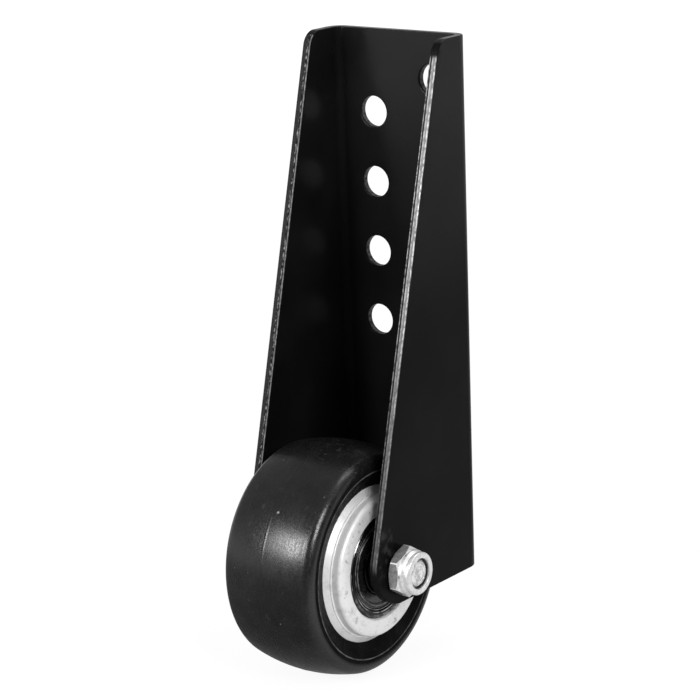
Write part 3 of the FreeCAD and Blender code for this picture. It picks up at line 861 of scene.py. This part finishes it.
hubSizes = {
    "bossRadius": 24.9 * mm,
    "bossTaper": 0.2 * mm,
    "bossRound": 1.6 * mm,
    "footWidth": 0.6 * mm,
    "footHeight": 0.4 * mm,
    "rimRise": 1.5 * mm,
    "bossProjection": 5.3 * mm,
    "rimLip": 3 * mm,
    "coreStep": 1.6 * mm,
    "rimRound": 0.45 * mm,
    "seatRadius": 18.52 * mm,
    "seatChamfer": 0.55 * mm,
    "seatShoulder": 2 * mm,
    "seatDepth": 12.3 * mm,
    "edgeRound": 0.15 * mm,
    "turns": 288,
}


def makeHub(sizes):
    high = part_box("hub")[1]
    face, rim = high.x, high.z - axle.z
    rimFace = face - sizes["bossProjection"]
    top = rimFace + sizes["rimRise"]
    foot = sizes["bossRadius"] + sizes["bossTaper"]
    step, stepTop = foot + sizes["footWidth"], top + sizes["footHeight"]
    seat, chamfer, small = sizes["seatRadius"], sizes["seatChamfer"], sizes["edgeRound"]
    floor, lip = face - sizes["seatDepth"], rimFace - sizes["rimLip"]
    half = [(floor, seat - sizes["seatShoulder"], 0), (floor, seat, 0), (face - chamfer, seat, small),
            (face, seat + chamfer, small), (face, sizes["bossRadius"], sizes["bossRound"]),
            (stepTop, foot, small), (stepTop, step, small), (top, step, small),
            (rimFace, rim, sizes["rimRound"]), (lip, rim, 0), (lip, rim - sizes["coreStep"], 0)]
    shape = lathe(roundCorners(half + mirrored(half[::-1], -1)), sizes["turns"])
    return makePiece("wheel_hub", shape, [hubAluminium], "wheel", "hub")


hubPiece = makeHub(hubSizes)
print("hub turned:", len(hubPiece.data.polygons), "faces")


# bearings, one each side

bearingSizes = {
    "bore": 6 * mm,
    "ringChamfer": 0.6 * mm,
    "edgeRound": 0.1 * mm,
    "shoulderRound": 0.3 * mm,
    "sealSeat": 16.07 * mm,
    "sealInset": 0.25 * mm,
    "sealThickness": 0.95 * mm,
    "raceRadius": 14.57 * mm,
    "beadOut": 14.2 * mm,
    "beadIn": 13.5 * mm,
    "beadRound": 0.25 * mm,
    "ribOut": 15.55 * mm,
    "ribIn": 15.2 * mm,
    "ribRound": 0.12 * mm,
    "faceGroove": 17.0 * mm,  # turned line in the outer ring
    "faceGrooveDepth": 0.15 * mm,
    "groove": 0.3 * mm,
    "grooveRound": 0.1 * mm,
    "dish": 0.45 * mm,
    "dishRound": 0.2 * mm,
    "sealLip": 10.18 * mm,
    "spacerRound": 0.35 * mm,
    "turns": 224,
}


def makeBearing(side, label, sizes):
    bore, chamfer, small, soft = (sizes[name] for name in ("bore", "ringChamfer", "edgeRound", "shoulderRound"))
    low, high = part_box(f"{label}_outer_ring")
    outside = high.z - axle.z
    face, back = (high.x, low.x) if side > 0 else (-low.x, -high.x)
    step = sizes["sealInset"] + sizes["sealThickness"]
    line, cut = sizes["faceGroove"], sizes["faceGrooveDepth"]
    seat, race = sizes["sealSeat"], sizes["raceRadius"]
    ring = [(face - chamfer, outside, small), (face, outside - chamfer, small),
            (face, line + 2 * cut, small), (face - cut, line + cut, small),
            (face - cut, line - cut, small), (face, line - 2 * cut, small),
            (face, seat, small), (face - step, seat, 0), (face - step, race, 0), (back + step, race, 0),
            (back + step, seat, 0), (back, seat, small), (back, outside - chamfer, small),
            (back + chamfer, outside, small)]
    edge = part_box(f"{label}_outer_seal")[1].z - axle.z
    front, rear, cut = face - sizes["sealInset"], face - step, sizes["groove"]
    groove, dish = front - cut, front - sizes["dish"]
    seal = [(rear, sizes["sealLip"], 0), (dish, sizes["sealLip"], sizes["dishRound"]),
            (dish, sizes["beadIn"] - sizes["dish"], sizes["dishRound"]),
            (front, sizes["beadIn"], sizes["beadRound"]), (front, sizes["beadOut"], sizes["beadRound"]),
            (groove, sizes["beadOut"] + cut, sizes["grooveRound"]),
            (groove, sizes["ribIn"] - cut, sizes["grooveRound"]),
            (front, sizes["ribIn"], sizes["ribRound"]), (front, sizes["ribOut"], sizes["ribRound"]),
            (groove, sizes["ribOut"] + cut, sizes["grooveRound"]), (groove, edge, 0), (rear, edge, 0)]
    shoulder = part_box(f"{label}_inner_ring")[1].z - axle.z
    inner = [(face - chamfer, bore, small), (face, bore + chamfer, small), (face, shoulder, soft),
             (back, shoulder, soft), (back, bore + chamfer, small), (back + chamfer, bore, small)]
    low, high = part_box(f"{label}_spacer")
    outer, soft = high.z - axle.z, sizes["spacerRound"]
    tube = [(low.x, bore, 0), (low.x, outer, soft), (high.x, outer, soft), (high.x, bore, 0)]
    for name, corners, finish, body, node, slotName in (
            ("bearing_outer", mirrored(ring, side), bearingSteel, "wheel", "outer_ring", "bearing_steel"),
            ("bearing_seal", mirrored(seal, side), sealRubber, "wheel", "outer_seal", "seal_rubber"),
            ("bearing_inner", mirrored(inner, side), bearingSteel, "bracket", "inner_ring", "bearing_steel"),
            ("axle_spacer", tube, nearBlackSteel, "bracket", "spacer", "blackened_steel")):
        shape = lathe(roundCorners(corners), sizes["turns"])
        makePiece(f"{label}_{name}", shape, [finish], body, f"{label}_{node}")


for bearingSide, bearingLabel in ((1, "right"), (-1, "left")):
    makeBearing(bearingSide, bearingLabel, bearingSizes)
print("bearings fitted")


# axle bolt and lock nut

nutSizes = {
    "flats": 16 * mm,
    "turn": math.radians(-3),
    "hexHeight": 4.9 * mm,
    "topInset": 0.1 * mm,
    "footInset": 1.8 * mm,
    "footSlope": math.tan(math.radians(30)),
    "topSlope": math.tan(math.radians(32)),
    "domeHeight": 5.9 * mm,
    "domeRound": 1.0 * mm,
    "pocketFoot": 6.2 * mm,
    "cornerRound": 0.55 * mm,
    "collar": 7.5 * mm,
    "collarRound": 0.3 * mm,
    "neck": 7.1 * mm,
    "neckRise": 0.4 * mm,
    "neckRound": 0.2 * mm,
    "rimHeight": 1.5 * mm,
    "rimRound": 0.75 * mm,
    "mouth": 5.4 * mm,
    "mouthRound": 0.3 * mm,
    "pocketDepth": 0.9 * mm,
    "pocketRound": 0.1 * mm,
    "insertRadius": 6.9 * mm,
    "bore": 5.05 * mm,
    "roundSteps": 5,
    "edgeRound": 0.12 * mm,
    "flatLean": 0.1,  # a flat leans and turns less than this
    "flatTurn": 3,
}

boltSizes = {
    "radius": 5 * mm,
    "flats": 16 * mm,
    "headInset": 0.4 * mm,
    "endChamfer": 0.9 * mm,
    "endDome": 0.4 * mm,
    "brightEnd": 2 * mm,
    "dimple": 0.15 * mm,
    "dimpleReach": 0.8 * mm,
    "domePoints": 20,
    "closed": 0.01 * mm,  # radius of the ring that ends it
}


def hexPoints(flats, cornerRound, turn, step=0.5 * mm):  # a hexagon with slightly rounded points
    peak = flats / math.sqrt(3)
    angles = [turn + math.pi / 6 + math.pi / 3 * index for index in range(6)]
    rounded = roundCorners([(peak * math.cos(angle), peak * math.sin(angle), cornerRound) for angle in angles])
    return divide(rounded + rounded[:1], step)[:-1]


def hexRing(hexagon, along, radius=None):  # as wide as the hexagon, or drawn in to a circle
    section, foot, outward = hexagon
    ring = []
    for point in section:
        spot = point if radius is None else point * (radius / point.length)
        lift = along(point.length) if callable(along) else along
        ring.append((foot + outward * lift, axle.y + spot.x, axle.z + spot.y))
    return ring


def hexRings(hexagon, height, circles, slopes):  # chamfered at both faces
    footCircle, topCircle = circles
    return [
        hexRing(hexagon, 0, footCircle),
        hexRing(hexagon, lambda out: max(out - footCircle, 0) * slopes[0]),
        hexRing(hexagon, lambda out: height - max(out - topCircle, 0) * slopes[1]),
        hexRing(hexagon, height, topCircle),
    ]


def bevelled(piece, width):
    soft = piece.modifiers.new("soft_edges", "BEVEL")
    soft.width = width
    soft.segments = 2
    soft.limit_method = "ANGLE"
    soft.angle_limit = math.radians(24)
    soft.harden_normals = True
    return piece


def nutCollar(sizes, height, dome):  # (along, out) from the dome over the rim and down the bore
    rim, pocket = height - sizes["rimHeight"], height - sizes["pocketDepth"]
    foot, insert, bore = sizes["pocketFoot"], sizes["insertRadius"], sizes["bore"]
    corners = [(sizes["hexHeight"], dome, 0), (sizes["domeHeight"], dome, sizes["domeRound"]),
               (rim - sizes["neckRise"], sizes["neck"], sizes["neckRound"]),
               (rim, sizes["collar"], sizes["collarRound"]), (height, sizes["collar"], sizes["rimRound"]),
               (height, sizes["mouth"], sizes["mouthRound"]), (pocket, sizes["mouth"], sizes["pocketRound"]),
               (pocket, insert, 0), (foot, insert, 0), (foot, bore, 0), (0, bore, 0)]
    return roundCorners(corners, sizes["roundSteps"], False)[1:]


def makeNut(sizes):
    low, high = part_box("lock_nut")
    half = sizes["flats"] / 2
    circles = (half - sizes["footInset"], half - sizes["topInset"])
    slopes = (sizes["footSlope"], sizes["topSlope"])
    hexagon = (hexPoints(sizes["flats"], sizes["cornerRound"], sizes["turn"]), low.x, 1)
    rings = hexRings(hexagon, sizes["hexHeight"], circles, slopes)
    collar = nutCollar(sizes, high.x - low.x, circles[1])
    rings += [hexRing(hexagon, along, out) for along, out in collar]
    shape = skin(rings + rings[:1])
    nut = makePiece("lock_nut_zinc", shape, [zincPlate, zincFlatsPaintedShade], "bracket", "lock_nut")
    for polygon in nut.data.polygons:
        normal = polygon.normal
        turned = math.degrees(math.atan2(normal.z, normal.y) - sizes["turn"])
        isFlat = abs(normal.x) < sizes["flatLean"] and abs((turned + 30) % 60 - 30) < sizes["flatTurn"]
        # the flats take the darker copy of the zinc: painted shade
        polygon.material_index = 1 if isFlat and (polygon.center - axle).yz.length > sizes["collar"] else 0
    return bevelled(nut, sizes["edgeRound"])


def makeBolt(sizes, nut):
    low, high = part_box("axle_bolt")
    under = -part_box("bracket")[1].x
    headHeight, length = under - low.x, high.x - under
    circle = sizes["flats"] / 2 - sizes["headInset"]
    hexagon = (hexPoints(sizes["flats"], nut["cornerRound"], 0), under, -1)
    head = hexRings(hexagon, headHeight, (circle, circle), (nut["footSlope"], nut["footSlope"]))
    tip = sizes["radius"] - sizes["endChamfer"]
    shank = [(0, sizes["radius"]), (length - sizes["endDome"] - sizes["endChamfer"], sizes["radius"])]
    for index in range(sizes["domePoints"], -1, -1):
        share = index / sizes["domePoints"]
        dip = sizes["dimple"] * max(0, 1 - (share * tip / sizes["dimpleReach"]) ** 2)
        shank.append((length - sizes["endDome"] * share ** 2 - dip, max(tip * share, sizes["closed"])))
    rings = [hexRing(hexagon, headHeight, sizes["closed"])] + head[::-1]
    rings += [hexRing(hexagon, -along, out) for along, out in shank]
    bolt = makePiece("axle_bolt_zinc", skin(rings), [zincPlate, boltEnd], "bracket", "axle_bolt")
    for polygon in bolt.data.polygons:
        polygon.material_index = 1 if polygon.center.x > high.x - sizes["brightEnd"] else 0
    return bevelled(bolt, nut["edgeRound"])


makeNut(nutSizes)
makeBolt(boltSizes, nutSizes)
print("bolt and nut made")


# pieces that stay as they are, with their own finish

innerFinishes = {
    "lock_nut_insert": insertNylon,
    "axle_sleeve": zincPlate,
    "bearing_spacer": zincPlate,
    "balls": ballSteel,
    "cage": bearingSteel,
    "inner_seal": sealRubber,
}


def dressInner(finishes):
    for name, node in frame["nodes"].items():
        for ending, finish in finishes.items():
            if name.endswith(ending):
                node.material_slots[0].material = finish


dressInner(innerFinishes)
print("inner pieces dressed")


# floor, light and camera

stageSizes = {  # four numbers go from this place to that, and from this level to that
    "floorHalf": 8.0,
    "floorColour": grey(0.8),
    "floorShade": grey(0.13),  # how much of its shadow the lens sees
    "floorGlow": (0.3, 1.2, 0.91, 1.0),  # for the lens, by distance
    "frontGlow": (0.2, 1.1, 0.25, 0.9),  # for metal, on the lens's side of the object
    "backGlow": (0.2, 1.1, 0.84, 0.5),
    "contactShade": (0.03, 0.12, 0.5, 1.0),  # under the wheel, for metal
    "backWay": (0.6, 0.8, 0.0),
    "backStart": (-0.09, -0.02),
    "darkWay": (0.8, -0.6, 0.0),  # the unlit end of the room, behind the lens
    "floorDark": (0.05, 0.4, 1.0, 0.1),
    "worldDark": (0.2, 0.7, 1.0, 0.1),
    "worldFill": 0.3,
    "worldMirror": (0.0, 0.3, 0.9, 0.3),  # by the height of the direction
}

lampTable = {  # azimuth from the front towards the nut's side, elevation, distance, width, height, watts
    "key": (-19, 20, 1.3, 0.60, 0.40, 7.4),
    "accent": (-11, 20, 1.3, 0.20, 0.36, 4.0),
    "side": (62, 28, 1.2, 0.42, 0.42, 7.0),
    "back": (150, 60, 1.5, 1.0, 1.0, 7.0),
}

photoView = {
    "azimuth": math.radians(37.106),
    "elevation": math.radians(14.716),
    "roll": math.radians(-1.9415),
    "distance": 0.9358,
    "target": Vector((-0.01508, -0.01562, -0.01836)),
    "lens": 135.29,
    "sensor": 36.0,
}


def rayKinds(tree):  # 1 for what the lens sees, and 1 for what metal and glass see
    path = tree.nodes.new("ShaderNodeLightPath").outputs
    return path["Is Camera Ray"], greatest([path["Is Glossy Ray"], path["Is Transmission Ray"]])


def makeFloor(sizes):
    half, low = sizes["floorHalf"], cadBox[0].z
    mesh = bpy.data.meshes.new("pale_floor")
    corners = [(-half, -half, low), (half, -half, low), (half, half, low), (-half, half, low)]
    mesh.from_pydata(corners, [], [(0, 1, 2, 3)])
    floor = addObject("pale_floor", mesh)
    finish, tree, shader = startFinish("pale_floor")
    tree.nodes.remove(shader)
    paint = tree.nodes.new("ShaderNodeBsdfDiffuse")
    glow = tree.nodes.new("ShaderNodeEmission")
    lens, mirror = rayKinds(tree)
    colour = mixColour(lens, sizes["floorColour"], sizes["floorShade"])
    wire(paint.inputs["Color"], mixColour(mirror, colour, grey(0)))
    place = framePlace(tree)
    reach = vectorCalc("LENGTH", framePlace(tree, (1, 1, 0)))
    front, back, seen = (ease(reach, *sizes[name]) for name in ("frontGlow", "backGlow", "floorGlow"))
    shown = ease(vectorCalc("DOT_PRODUCT", place, sizes["backWay"]), *sizes["backStart"], front, back)
    aside = vectorCalc("DOT_PRODUCT", place, sizes["darkWay"])
    shown = times(shown, ease(aside, *sizes["floorDark"]))
    gap = vectorCalc("DISTANCE", place, (axle.x, axle.y, low))
    shown = times(shown, ease(gap, *sizes["contactShade"]))
    wire(glow.inputs["Strength"], plus(times(lens, seen), times(mirror, shown)))
    both = tree.nodes.new("ShaderNodeAddShader")
    wire(both.inputs[0], paint.outputs[0])
    wire(both.inputs[1], glow.outputs[0])
    wire(tree.nodes["Material Output"].inputs["Surface"], both.outputs[0])
    mesh.materials.append(finish)


def makeWorld(sizes):
    world = bpy.data.worlds.new("white_studio")
    bpy.context.scene.world = world
    world.use_nodes = True
    tree = world.node_tree
    ground = tree.nodes["Background"]
    ground.inputs["Color"].default_value = grey(1)
    lens, mirror = rayKinds(tree)
    way = tree.nodes.new("ShaderNodeTexCoord").outputs["Generated"]
    seen = times(mirror, ease(coordinates(way)[2], *sizes["worldMirror"]))
    aside = vectorCalc("DOT_PRODUCT", way, sizes["darkWay"])
    seen = times(seen, ease(aside, *sizes["worldDark"]))
    fill = ease(plus(lens, mirror), 0.0, 1.0, sizes["worldFill"], 0.0)  # for all other rays
    wire(ground.inputs["Strength"], plus(plus(lens, seen), fill))


def aim(azimuth, elevation):
    level = math.cos(elevation)
    return Vector((math.sin(azimuth) * level, -math.cos(azimuth) * level, math.sin(elevation)))


def makeLamps(lamps, target):
    for name, (azimuth, elevation, distance, width, height, watts) in lamps.items():
        light = bpy.data.lights.new(name, "AREA")
        light.shape = "RECTANGLE"
        light.size, light.size_y, light.energy = width, height, watts
        lamp = addObject(name, light)
        way = aim(math.radians(azimuth), math.radians(elevation))
        lamp.location = target + way * distance
        lamp.rotation_euler = way.to_track_quat("Z", "Y").to_euler()


def makeCamera(shot):
    back = aim(shot["azimuth"], shot["elevation"])
    level = Vector((math.cos(shot["azimuth"]), math.sin(shot["azimuth"]), 0))
    up = back.cross(level)
    right = math.cos(shot["roll"]) * level + math.sin(shot["roll"]) * up
    above = math.cos(shot["roll"]) * up - math.sin(shot["roll"]) * level
    lens = bpy.data.cameras.new("photo_camera")
    lens.sensor_width, lens.lens = shot["sensor"], shot["lens"]
    camera = addObject("photo_camera", lens)
    turn = Matrix((right, above, back)).transposed().to_4x4()
    camera.matrix_world = Matrix.Translation(shot["target"] + back * shot["distance"]) @ turn
    bpy.context.scene.camera = camera


makeFloor(stageSizes)
makeWorld(stageSizes)
makeLamps(lampTable, photoView["target"])
makeCamera(photoView)
bpy.context.scene.view_settings.view_transform = "Standard"
print("stage, lamps and camera set")
